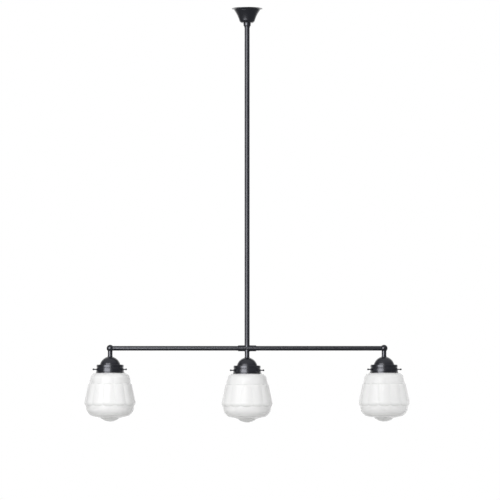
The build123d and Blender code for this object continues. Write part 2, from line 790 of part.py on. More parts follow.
with BuildPart() as centre_contacts:
    for name, x, gallery_drop, neck_seat in shades:
        holder_z = bar_z - gallery_drop - holder_drop
        with BuildSketch(level(x, holder_z - contact_face)):
            Circle(contact_d / 2)
        extrude(amount=contact_t)
        with BuildSketch(level(x, holder_z - floor_under)):
            Circle(contact_stem_d / 2)
        extrude(amount=holder_floor_t)
centre_contacts.part.label = "centre_contacts"
export_step(centre_contacts.part, "parts/centre_contacts.step")

# ---------------------------------------------------------------- opal glass shades

taper_slope = tan(radians(glass_taper))
band_start_r = glass_shoulder_d / 2 + glass_shoulder_r * cos(radians(glass_taper))
band_start_z = glass_shoulder_z + glass_shoulder_r * (1 - sin(radians(glass_taper)))
band_end_r = band_start_r + (glass_band_z - band_start_z) * taper_slope
lip_bottom = screw_rise + screw_d / 2 + glass_lip_gap
lip_top = lip_bottom + glass_lip_t
nib_base_z = -nib_drop + nib_sphere_r - sqrt(nib_sphere_r**2 - (nib_base_d / 2) ** 2)
valley_share = 1 - flute_depth_share
flute_sections = [
    (flute_top_z - flute_lead_in, flute_top_d / 2 - flute_lead_step),
    (flute_top_z, flute_top_d / 2),
    (flute_end_z, flute_end_d / 2),
] + [(flute_end_z + drop, flute_end_d / 2 - draw) for drop, draw in flute_roll]

for name, x, gallery_drop, neck_seat in shades:
    edge_z = bar_z - gallery_drop - gallery_height
    with BuildPart() as glass_shade:
        for drop, crest_r in flute_sections:
            with BuildSketch(level(x, edge_z - drop)):
                with BuildLine():
                    for start, crest, end in lobed_outline(crest_r):
                        ThreePointArc(start, crest, end)
                make_face()
        loft(ruled=True)
        with BuildSketch(upright(x, edge_z)):
            with BuildLine():
                lip = Polyline(
                    (0, lip_top),
                    (glass_lip_d / 2, lip_top),
                    (glass_lip_d / 2, lip_bottom),
                    (glass_neck_r, lip_bottom),
                    (glass_neck_r, glass_neck_fillet - glass_shoulder_z),
                )
                root = JernArc(lip @ 1, (0, -1), glass_neck_fillet, 90)
                crown = Line(root @ 1, (glass_shoulder_d / 2, -glass_shoulder_z))
                shoulder = JernArc(crown @ 1, (1, 0), glass_shoulder_r, -(90 - glass_taper))
                wall = Polyline(
                    shoulder @ 1,
                    (band_end_r, -glass_band_z),
                    (bowl_wall_d / 2 - bowl_wall_draft, -flute_end_z),
                    (bowl_wall_d / 2, -bowl_wall_z),
                    (bowl_wall_d / 2 - bowl_wall_draft, -bowl_turn_z),
                )
                turn = JernArc(wall @ 1, (0, -1), bowl_turn_r, -45)
                slant = Line(turn @ 1, (turn @ 1) + (turn % 1) * bowl_slant)
                heel = JernArc(slant @ 1, slant % 1, bowl_heel_r, bowl_floor_slope - 45)
                run = (heel @ 1).X - nib_base_d / 2 - nib_fillet
                sole = Line(heel @ 1, (heel @ 1) - Vector(run, run * tan(radians(bowl_floor_slope))))
                drop_in = Line(sole @ 1, (nib_base_d / 2, nib_base_z))
                nib = RadiusArc(drop_in @ 1, (0, -nib_drop), nib_sphere_r)
                Line(nib @ 1, (0, lip_top))
            make_face()
        revolve(axis=spin(x))
        with BuildSketch(upright(x, edge_z)):
            with BuildLine():
                bore = Line(
                    (glass_neck_r - glass_wall, lip_top + glass_wall),
                    (glass_neck_r - glass_wall, 0),
                )
                throat = JernArc(bore @ 1, (0, -1), glass_neck_fillet + glass_wall, 90)
                inner_crown = Line(throat @ 1, (glass_shoulder_d / 2, (throat @ 1).Y))
                inner_shoulder = JernArc(
                    inner_crown @ 1, (1, 0), glass_shoulder_r - glass_wall, glass_taper - 90
                )
                inner_wall = Polyline(
                    inner_shoulder @ 1,
                    (band_end_r - glass_wall, -glass_band_z - glass_wall),
                    (flute_end_d / 2 * valley_share - glass_wall, -flute_end_z),
                    (bowl_wall_d / 2 - glass_wall, -bowl_wall_z),
                    (bowl_wall_d / 2 - glass_wall, -bowl_turn_z),
                )
                inner_turn = JernArc(inner_wall @ 1, (0, -1), bowl_turn_r - glass_wall, -45)
                inner_floor = Spline(
                    inner_turn @ 1,
                    ((heel @ 1).X - glass_wall / 4, (heel @ 1).Y + glass_wall),
                    (nib_base_d / 2, nib_base_z + glass_wall),
                    (0, -nib_drop + glass_wall),
                    tangents=(inner_turn % 1, (-1, 0)),
                )
                Polyline(inner_floor @ 1, (0, lip_top + glass_wall), bore @ 0)
            make_face()
        revolve(axis=spin(x), mode=Mode.SUBTRACT)
    glass_shade.part.label = f"glass_shade_{name}"
    export_step(glass_shade.part, f"parts/glass_shade_{name}.step")

# ---------------------------------------------------------------- lamp leads

lead_circle = (lead_d + lead_gap) / sqrt(3)
lead_places = {
    "left": on_circle(lead_circle, 210),
    "centre": on_circle(lead_circle, 90),
    "right": on_circle(lead_circle, 330),
}
for name, x, gallery_drop, neck_seat in shades:
    lead_x, lead_y = lead_places[name]
    end_z = bar_z - gallery_drop - holder_drop - floor_top
    turn_z = lead_low_z if name == "centre" else lead_high_z
    points = [(lead_x, block_near_y, turn_z), (lead_x, lead_y, turn_z)]
    if name == "centre":
        points += [(lead_x, lead_y, end_z)]
    else:
        points += [(lead_x, lead_y, bar_z), (x, lead_y, bar_z), (x, lead_y, end_z)]
    with BuildPart() as lamp_lead:
        with BuildLine():
            FilletPolyline(*points, radius=lead_bend_r)
        with BuildSketch(Plane(origin=points[0], z_dir=(0, -1, 0))):
            Circle(lead_d / 2)
        sweep()
    lamp_lead.part.label = f"lamp_lead_{name}"
    export_step(lamp_lead.part, f"parts/lamp_lead_{name}.step")
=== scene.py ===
"""Linear island pendant: finishes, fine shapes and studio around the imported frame."""

from __future__ import annotations

import json
import logging
import math
from abc import ABC, abstractmethod
from collections.abc import Callable, Mapping, Sequence
from dataclasses import dataclass, field
from enum import Enum

import bpy
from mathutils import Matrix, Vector

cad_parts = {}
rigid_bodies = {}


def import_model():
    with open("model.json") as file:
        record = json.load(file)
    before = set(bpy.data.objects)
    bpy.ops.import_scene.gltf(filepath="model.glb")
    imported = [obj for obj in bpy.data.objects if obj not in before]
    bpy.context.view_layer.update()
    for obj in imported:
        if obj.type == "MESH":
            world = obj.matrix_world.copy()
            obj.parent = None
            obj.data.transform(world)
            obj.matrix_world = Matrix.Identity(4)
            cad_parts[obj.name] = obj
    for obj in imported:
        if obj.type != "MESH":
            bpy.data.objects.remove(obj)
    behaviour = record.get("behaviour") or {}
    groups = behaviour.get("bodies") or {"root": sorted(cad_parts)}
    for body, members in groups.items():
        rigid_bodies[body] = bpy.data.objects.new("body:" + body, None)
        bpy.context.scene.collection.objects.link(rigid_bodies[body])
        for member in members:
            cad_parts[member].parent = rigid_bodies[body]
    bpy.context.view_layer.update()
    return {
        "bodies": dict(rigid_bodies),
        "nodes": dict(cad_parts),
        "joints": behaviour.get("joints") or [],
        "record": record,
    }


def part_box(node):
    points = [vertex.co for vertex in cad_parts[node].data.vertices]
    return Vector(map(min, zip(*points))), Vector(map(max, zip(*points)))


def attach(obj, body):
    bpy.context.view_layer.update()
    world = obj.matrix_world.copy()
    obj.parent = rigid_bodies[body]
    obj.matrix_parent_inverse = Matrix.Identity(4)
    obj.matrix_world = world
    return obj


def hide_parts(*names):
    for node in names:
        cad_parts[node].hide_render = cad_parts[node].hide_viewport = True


LOG = logging.getLogger("pendant")
MM = 0.001

# A point of a profile nearer to the axis than this, in millimetres, is on it.
ON_AXIS = 1e-6

# The largest share of a straight side that one rounding takes.
LARGEST_ROUNDING = 0.48

# How many finer layers a noise has.
SMOOTH, FINE, CLOUDY, BROKEN = 1.0, 2.0, 3.0, 4.0

# The two colour inputs and the colour output of a Mix node.
MIX_FIRST, MIX_SECOND, MIX_RESULT = 6, 7, 2

Point = tuple[float, float]
Spot = tuple[float, float, float]
Corner = tuple[float, float, float]
Colour = tuple[float, float, float, float]
SpotMap = Callable[[float, float, float], Spot]


# ---------------------------------------------------------------- shader expressions


class Signal:
    """A value that varies over a surface: the output socket of a shader node."""

    def __init__(self, graph: Graph, socket: bpy.types.NodeSocket) -> None:
        """Wraps a socket.

        Args:
            graph: the graph that holds the socket's node.
            socket: the output socket.
        """
        self.graph = graph
        self.socket = socket

    def maths(self, operation: str, first: Operand, second: Operand) -> Signal:
        """Adds one Math node.

        Args:
            operation: the node's operation.
            first: its first input.
            second: its second input.

        Returns:
            The node's result.
        """
        settings = {"operation": operation}
        return self.graph.add("ShaderNodeMath", settings, {0: first, 1: second})

    def __add__(self, other: Operand) -> Signal:
        """This value plus another."""
        return self.maths("ADD", self, other)

    def __radd__(self, other: Operand) -> Signal:
        """Another value plus this one."""
        return self.maths("ADD", other, self)

    def __sub__(self, other: Operand) -> Signal:
        """This value less another."""
        return self.maths("SUBTRACT", self, other)

    def __rsub__(self, other: Operand) -> Signal:
        """Another value less this one."""
        return self.maths("SUBTRACT", other, self)

    def __mul__(self, other: Operand) -> Signal:
        """This value times another."""
        return self.maths("MULTIPLY", self, other)

    def __rmul__(self, other: Operand) -> Signal:
        """Another value times this one."""
        return self.maths("MULTIPLY", other, self)

    def ramp(self, low: float, high: float) -> Signal:
        """A smooth step from 0 at one value to 1 at another.

        Args:
            low: where the step starts.
            high: where it ends.

        Returns:
            The step.
        """
        settings = {"interpolation_type": "SMOOTHSTEP"}
        inputs = {0: self, 1: low, 2: high}
        return self.graph.add("ShaderNodeMapRange", settings, inputs)


Operand = float | Signal
Input = float | Sequence[float] | Signal


class Graph:
    """The node tree of a material, or of the studio's surroundings."""

    def __init__(self, name: str, store: str = "materials") -> None:
        """Starts an empty tree.

        Args:
            name: the name of what the tree belongs to.
            store: "materials" for a material, "worlds" for the surroundings.
        """
        self.owner = getattr(bpy.data, store).new(name)
        self.owner.use_nodes = True
        self.tree = self.owner.node_tree
        self.tree.nodes.clear()

    def add(
        self,
        kind: str,
        settings: Mapping[str, object] | None = None,
        inputs: Mapping[str | int, Input] | None = None,
        output: str | int = 0,
    ) -> Signal:
        """Adds any node.

        Args:
            kind: the node's type.
            settings: its attributes, which are set first.
            inputs: what each input socket holds or is linked to.
            output: the output socket to return.

        Returns:
            The output as a signal.
        """
        node = self.tree.nodes.new(kind)
        for key, value in (settings or {}).items():
            setattr(node, key, value)
        for key, value in (inputs or {}).items():
            if isinstance(value, Signal):
                self.tree.links.new(value.socket, node.inputs[key])
            else:
                node.inputs[key].default_value = value
        return Signal(self, node.outputs[output])

    def place(self) -> Signal:
        """Place on the object in metres."""
        return self.add("ShaderNodeTexCoord", output="Object")

    def stretched(self, scale: Spot) -> Signal:
        """Place on the object with each axis scaled.

        Args:
            scale: factor for each axis.

        Returns:
            The scaled place.
        """
        inputs = {0: self.place(), 1: scale}
        return self.add("ShaderNodeVectorMath", {"operation": "MULTIPLY"}, inputs)

    def noise(
        self, size: float, detail: float = CLOUDY, place: Signal | None = None
    ) -> Signal:
        """Cloudy noise from 0 to 1.

        Args:
            size: size of its patches in metres.
            detail: how many finer layers it has.
            place: where to read it, if not at the plain place.

        Returns:
            The noise.
        """
        where = place or self.place()
        inputs = {"Vector": where, "Scale": 1.0 / size, "Detail": detail}
        return self.add("ShaderNodeTexNoise", {}, inputs)

    def along(self, direction: Signal, axis: str) -> Signal:
        """One part of a direction.

        Args:
            direction: the direction.
            axis: "X", "Y" or "Z".

        Returns:
            Its part along that axis, from -1 to 1.
        """
        return self.add("ShaderNodeSeparateXYZ", {}, {0: direction}, axis)

    def upward(self) -> Signal:
        """How far the surface faces up, from -1 to 1."""
        return self.along(self.add("ShaderNodeNewGeometry", output="Normal"), "Z")

    def blend(self, share: Operand, first: Input, second: Input) -> Signal:
        """Mixes two colours.

        Args:
            share: the second colour's share.
            first: one colour.
            second: the other.

        Returns:
            The mixed colour.
        """
        inputs = {0: share, MIX_FIRST: first, MIX_SECOND: second}
        return self.add("ShaderNodeMix", {"data_type": "RGBA"}, inputs, MIX_RESULT)

    def relief(self, height: Signal, depth: float) -> Signal:
        """A bumped normal.

        Args:
            height: the relief, 0 to 1.
            depth: how deep that is, in metres.

        Returns:
            The normal.
        """
        return self.add("ShaderNodeBump", {}, {"Distance": depth, "Height": height})

    def finish(self, **sockets: Input) -> bpy.types.Material:
        """Ends the tree in a Principled shader.

        Args:
            sockets: the shader's inputs, with _ for a space in their names.

        Returns:
            The material.
        """
        inputs = {key.replace("_", " "): value for key, value in sockets.items()}
        shader = self.add("ShaderNodeBsdfPrincipled", {}, inputs)
        self.end(shader, "ShaderNodeOutputMaterial")
        return self.owner

    def end(self, shader: Signal, kind: str) -> None:
        """Links a shader to the tree's output.

        Args:
            shader: the last shader.
            kind: the output node's type.
        """
        node = self.tree.nodes.new(kind)
        self.tree.links.new(shader.socket, node.inputs["Surface"])


def rgb(red: float, green: float, blue: float) -> Colour:
    """An opaque colour from its three linear parts."""
    return (red, green, blue, 1.0)


WHITE = rgb(1.0, 1.0, 1.0)
SAME_FOR_ALL_COLOURS: Spot = (1.0, 1.0, 1.0)
WITHOUT_HEIGHT: Spot = (1.0, 1.0, 0.0)


# ---------------------------------------------------------------- finishes


@dataclass(frozen=True)
class SatinPaint:
    """Black satin paint with faint orange peel and a little dust on what faces up."""

    name: str = "satin_black_paint"
    dark: Colour = rgb(0.0022, 0.0028, 0.0056)
    light: Colour = rgb(0.0042, 0.0050, 0.0096)
    dust: Colour = rgb(0.050, 0.049, 0.050)
    sheen: Colour = rgb(0.88, 0.895, 1.0)
    gloss: float = 0.95
    roughness: float = 0.20
    coat: float = 0.7
    coat_roughness: float = 0.34
    cloud_size: float = 0.030
    cloud_roughness: float = 0.08
    fleck_size: float = 0.0035
    fleck_relief: float = 0.4
    peel_size: float = 0.0016
    peel_depth: float = 0.0000015
    dust_slope: Point = (0.72, 1.0)
    dust_flecks: Point = (0.35, 0.75)
    dust_share: float = 0.55
    dust_roughness: float = 0.25

    def build(self) -> bpy.types.Material:
        """Makes the material.

        Returns:
            The material.
        """
        graph = Graph(self.name)
        cloud = graph.noise(self.cloud_size)
        fleck = graph.noise(self.fleck_size, BROKEN)
        peel = graph.noise(self.peel_size, FINE)
        level = graph.upward().ramp(*self.dust_slope)
        dusty = level * fleck.ramp(*self.dust_flecks) * self.dust_share
        paint = graph.blend(cloud, self.dark, self.light)
        dulled = self.cloud_roughness * cloud + self.dust_roughness * dusty
        return graph.finish(
            Base_Color=graph.blend(dusty, paint, self.dust),
            Roughness=self.roughness + dulled,
            Normal=graph.relief(peel + self.fleck_relief * fleck, self.peel_depth),
            Specular_IOR_Level=self.gloss,
            Specular_Tint=self.sheen,
            Coat_Weight=self.coat,
            Coat_Roughness=self.coat_roughness,
        )


@dataclass(frozen=True)
class OpalGlass:
    """White opal glass: smooth, faintly wavy, with a milky depth."""

    name: str = "opal_glass"
    cool: Colour = rgb(0.835, 0.838, 0.841)
    warm: Colour = rgb(0.868, 0.865, 0.858)
    gloss: float = 0.24
    roughness: float = 0.13
    streak_size: float = 0.020
    streak_stretch: Spot = (1.0, 1.0, 0.35)
    streak_roughness: float = 0.05
    wave_size: float = 0.012
    wave_depth: float = 0.00010
    seed_size: float = 0.0022
    seed_edge: Point = (0.72, 0.80)
    seed_relief: float = 0.05
    seed_roughness: float = 0.08
    milk_depth: float = 0.0035

    def build(self) -> bpy.types.Material:
        """Makes the material.

        Returns:
            The material.
        """
        graph = Graph(self.name)
        drawn = graph.stretched(self.streak_stretch)
        streak = graph.noise(self.streak_size, CLOUDY, drawn)
        wave = graph.noise(self.wave_size, SMOOTH)
        seed = graph.noise(self.seed_size, FINE)
        speck = seed.ramp(*self.seed_edge)
        dulled = self.streak_roughness * streak + self.seed_roughness * speck
        return graph.finish(
            Base_Color=graph.blend(streak, self.cool, self.warm),
            Roughness=self.roughness + dulled,
            Normal=graph.relief(wave + self.seed_relief * seed, self.wave_depth),
            Specular_IOR_Level=self.gloss,
            Subsurface_Weight=1.0,
            Subsurface_Radius=SAME_FOR_ALL_COLOURS,
            Subsurface_Scale=self.milk_depth,
        )


@dataclass(frozen=True)
class TurnedMetal:
    """Bare metal with fine tool lines and a patchy, slightly dulled surface."""

    name: str
    bright: Colour
    dull: Colour
    roughness: float
    patch_size: float = 0.008
    tarnish_edge: Point = (0.35, 0.8)
    tarnish_roughness: float = 0.15
    line_size: float = 0.0012
    line_stretch: Spot = (0.15, 0.15, 3.0)
    line_roughness: float = 0.06
    line_depth: float = 0.00003

    def build(self) -> bpy.types.Material:
        """Makes the material.

        Returns:
            The material.
        """
        graph = Graph(self.name)
        tarnish = graph.noise(self.patch_size).ramp(*self.tarnish_edge)
        lines = graph.noise(self.line_size, FINE, graph.stretched(self.line_stretch))
        dulled = self.tarnish_roughness * tarnish + self.line_roughness * lines
        return graph.finish(
            Base_Color=graph.blend(tarnish, self.bright, self.dull),
            Metallic=1.0,
            Roughness=self.roughness + dulled,
            Normal=graph.relief(lines, self.line_depth),
        )


@dataclass(frozen=True)
class MouldedPlastic:
    """Plain moulded plastic with a fine grain."""

    name: str
    colour: Colour
    shade: Colour
    roughness: float
    cloud_size: float = 0.015
    cloud_roughness: float = 0.10
    grain_size: float = 0.0008
    grain_depth: float = 0.00004

    def build(self) -> bpy.types.Material:
        """Makes the material.

        Returns:
            The material.
        """
        graph = Graph(self.name)
        cloud = graph.noise(self.cloud_size)
        grain = graph.noise(self.grain_size, FINE)
        return graph.finish(
            Base_Color=graph.blend(cloud, self.colour, self.shade),
            Roughness=self.roughness + self.cloud_roughness * cloud,
            Normal=graph.relief(grain, self.grain_depth),
        )


@dataclass(frozen=True)
class FrostedGlass:
    """White frosted glass of a lamp."""

    name: str = "frosted_lamp_glass"
    white: Colour = rgb(0.86, 0.86, 0.85)
    cream: Colour = rgb(0.90, 0.89, 0.87)
    roughness: float = 0.42
    cloud_size: float = 0.018
    powder_size: float = 0.0010
    powder_roughness: float = 0.12
    powder_depth: float = 0.00003
    milk: float = 0.3
    milk_depth: float = 0.004

    def build(self) -> bpy.types.Material:
        """Makes the material.

        Returns:
            The material.
        """
        graph = Graph(self.name)
        powder = graph.noise(self.powder_size)
        cloud = graph.noise(self.cloud_size)
        return graph.finish(
            Base_Color=graph.blend(cloud, self.white, self.cream),
            Roughness=self.roughness + self.powder_roughness * powder,
            Normal=graph.relief(powder, self.powder_depth),
            Subsurface_Weight=self.milk,
            Subsurface_Radius=SAME_FOR_ALL_COLOURS,
            Subsurface_Scale=self.milk_depth,
        )


class Finish(Enum):
    """The finishes of this light."""

    PAINT = SatinPaint()
    STEM_PAINT = SatinPaint(
        "satin_black_stem_paint", roughness=0.42, coat_roughness=0.50
    )
    OPAL = OpalGlass()
    ZINC = TurnedMetal(
        "zinc_plate", rgb(0.62, 0.62, 0.60), rgb(0.45, 0.44, 0.40), 0.30
    )
    BRASS = TurnedMetal(
        "brass", rgb(0.78, 0.60, 0.30), rgb(0.52, 0.37, 0.17), 0.24
    )
    LAMP_METAL = TurnedMetal(
        "lamp_cap_metal", rgb(0.80, 0.80, 0.81), rgb(0.60, 0.60, 0.60), 0.22
    )
    WHITE_PLASTIC = MouldedPlastic(
        "white_plastic", rgb(0.78, 0.78, 0.75), rgb(0.70, 0.69, 0.66), 0.45
    )
    BLACK_PLASTIC = MouldedPlastic(
        "black_plastic", rgb(0.020, 0.019, 0.018), rgb(0.03, 0.03, 0.03), 0.4
    )
    SHEATH = MouldedPlastic(
        "lead_sheath", rgb(0.66, 0.66, 0.64), rgb(0.58, 0.58, 0.56), 0.5
    )
    LAMP_GLASS = FrostedGlass()


class Paintbox:
    """Makes each finish once and hands it out."""

    def __init__(self) -> None:
        """Starts with no finish made."""
        self.made: dict[Finish, bpy.types.Material] = {}

    def material(self, finish: Finish) -> bpy.types.Material:
        """The material of a finish.

        Args:
            finish: which finish.

        Returns:
            Its material.
        """
        if finish not in self.made:
            self.made[finish] = finish.value.build()
        return self.made[finish]

    def dress(self, piece: bpy.types.Object, finish: Finish) -> None:
        """Gives a piece one finish.

        Args:
            piece: the object.
            finish: its finish.
        """
        piece.data.materials.clear()
        piece.data.materials.append(self.material(finish))


# ---------------------------------------------------------------- meshes


@dataclass(frozen=True)
class Arc:
    """A round stretch of a profile, in millimetres and degrees."""

    centre: Point
    radius: float
    start: float
    end: float
    steps: int

    def points(self) -> list[Point]:
        """Points along the arc, ends included.

        Returns:
            Radius and height of each point.
        """
        points = []
        sweep = self.end - self.start
        for step in range(self.steps + 1):
            turn = math.radians(self.start + sweep * step / self.steps)
            x = self.centre[0] + self.radius * math.cos(turn)
            y = self.centre[1] + self.radius * math.sin(turn)
            points.append((x, y))
        return points


@dataclass(frozen=True)
class Run:
    """A straight stretch of a profile, in millimetres."""

    start: Point
    travel: Point
    steps: int

    def points(self) -> list[Point]:
        """Points along the run, without its start.

        Returns:
            Radius and height of each point.
        """
        points = []
        for step in range(1, self.steps + 1):
            x = self.start[0] + self.travel[0] * step / self.steps
            y = self.start[1] + self.travel[1] * step / self.steps
            points.append((x, y))
        return points


def rounded(corners: Sequence[Corner], steps: int = 4) -> list[Point]:
    """A profile with rounded corners.

    Args:
        corners: radius, height and rounding of each corner.
        steps: spaces between points along each rounding.

    Returns:
        The profile's points.
    """
    points: list[Point] = []
    for index, (x, y, size) in enumerate(corners):
        if size == 0 or index in (0, len(corners) - 1):
            points.append((x, y))
            continue
        here = Vector((x, y))
        before = Vector(corners[index - 1][:2]) - here
        after = Vector(corners[index + 1][:2]) - here
        back = min(size, before.length * LARGEST_ROUNDING)
        on = min(size, after.length * LARGEST_ROUNDING)
        start = here + before.normalized() * back
        end = here + after.normalized() * on
        for step in range(steps + 1):
            t = step / steps
            spot = start * (1 - t) ** 2 + here * 2 * t * (1 - t) + end * t**2
            points.append((spot.x, spot.y))
    return points


def between(knots: Sequence[Point], value: float, outside: float) -> float:
    """Reads the height of a line through knots.

    Args:
        knots: pairs of place and height, by rising place.
        value: the place to read.
        outside: the result before the first knot and after the last.

    Returns:
        The height there.
    """
    for (x0, y0), (x1, y1) in zip(knots, knots[1:]):
        if x0 <= value <= x1:
            return y0 + (y1 - y0) * (value - x0) / (x1 - x0) if x1 != x0 else y0
    return outside


@dataclass
class MeshPlan:
    """Vertices and faces of one mesh, in metres."""

    vertices: list[Spot] = field(default_factory=list)
    faces: list[tuple[int, ...]] = field(default_factory=list)

    def ring(self, spots: Sequence[Spot]) -> list[int]:
        """Adds a ring of vertices.

        Args:
            spots: their places.

        Returns:
            Their numbers.
        """
        first = len(self.vertices)
        self.vertices.extend(spots)
        return list(range(first, len(self.vertices)))

    def join(self, upper: Sequence[int], lower: Sequence[int]) -> None:
        """Adds the faces between two rings, or a ring and a single point.

        Args:
            upper: one ring.
            lower: the next ring.
        """
        count = max(len(upper), len(lower))
        for k in range(count):
            n = (k + 1) % count
            if len(upper) == 1:
                self.faces.append((upper[0], lower[k], lower[n]))
            elif len(lower) == 1:
                self.faces.append((upper[k], lower[0], upper[n]))
            else:
                self.faces.append((upper[k], lower[k], lower[n], upper[n]))

    def spin(
        self,
        profile: Sequence[Point],
        place: SpotMap,
        turns: Sequence[float],
        swell: Callable[[float, float, float], float] | None = None,
    ) -> tuple[list[int], list[int]]:
        """Spins a profile round an axis.

        Args:
            profile: radius and height of its points, in millimetres.
            place: maps radius, height and angle to a place in metres.
            turns: the angles in degrees.
            swell: changes a radius, given radius, height and angle.

        Returns:
            The first and the last ring.
        """
        rings: list[list[int]] = []
        for radius, height in profile:
            if radius < ON_AXIS:
                rings.append(self.ring([place(0.0, height, 0.0)]))
                continue
            spots = []
            for turn in turns:
                reach = swell(radius, height, turn) if swell else radius
                spots.append(place(reach, height, turn))
            rings.append(self.ring(spots))
        for upper, lower in zip(rings, rings[1:]):
            self.join(upper, lower)
        return rings[0], rings[-1]

    def make(self, name: str, sharp: float = 40.0) -> bpy.types.Object:
        """Makes the object, smooth but for its sharp edges.

        Args:
            name: the piece's name.
            sharp: angle in degrees from which an edge stays sharp.

        Returns:
            The object.
        """
        mesh = bpy.data.meshes.new(name)
        mesh.from_pydata(self.vertices, [], self.faces)
        mesh.validate()
        mesh.update()
        piece = bpy.data.objects.new(name, mesh)
        bpy.context.scene.collection.objects.link(piece)
        for polygon in mesh.polygons:
            polygon.use_smooth = True
        mesh.set_sharp_from_angle(angle=math.radians(sharp))
        return piece


def upright_at(x: float, z: float) -> SpotMap:
    """Maps radius, height and angle about a vertical axis.

    Args:
        x: the axis's place along the bar, in metres.
        z: height of the profile's zero, in metres.

    Returns:
        The map, from millimetres and degrees to metres.
    """

    def place(radius: float, height: float, turn: float) -> Spot:
        """Place of a point of the profile."""
        way = math.radians(turn)
        along, across = radius * math.cos(way) * MM, radius * math.sin(way) * MM
        return (x + along, across, z + height * MM)

    return place


# ---------------------------------------------------------------- sub-assemblies


class SubAssembly(ABC):
    """A part of the light that makes or dresses its own pieces."""

    @abstractmethod
    def build(self, frame: Mapping[str, dict], paints: Paintbox) -> None:
        """Makes or dresses the pieces.

        Args:
            paints: the finishes.
        """


@dataclass
class Dressing(SubAssembly):
    """CAD nodes that keep their shape and get a finish."""

    title: str
    finishes: Mapping[Finish, Sequence[str]]

    def build(self, frame: Mapping[str, dict], paints: Paintbox) -> None:
        """Dresses the nodes.

        Args:
            paints: the finishes.
        """
        for finish, names in self.finishes.items():
            for name in names:
                paints.dress(frame["nodes"][name], finish)
                LOG.info("%s: %s in %s", self.title, name, finish.name.lower())


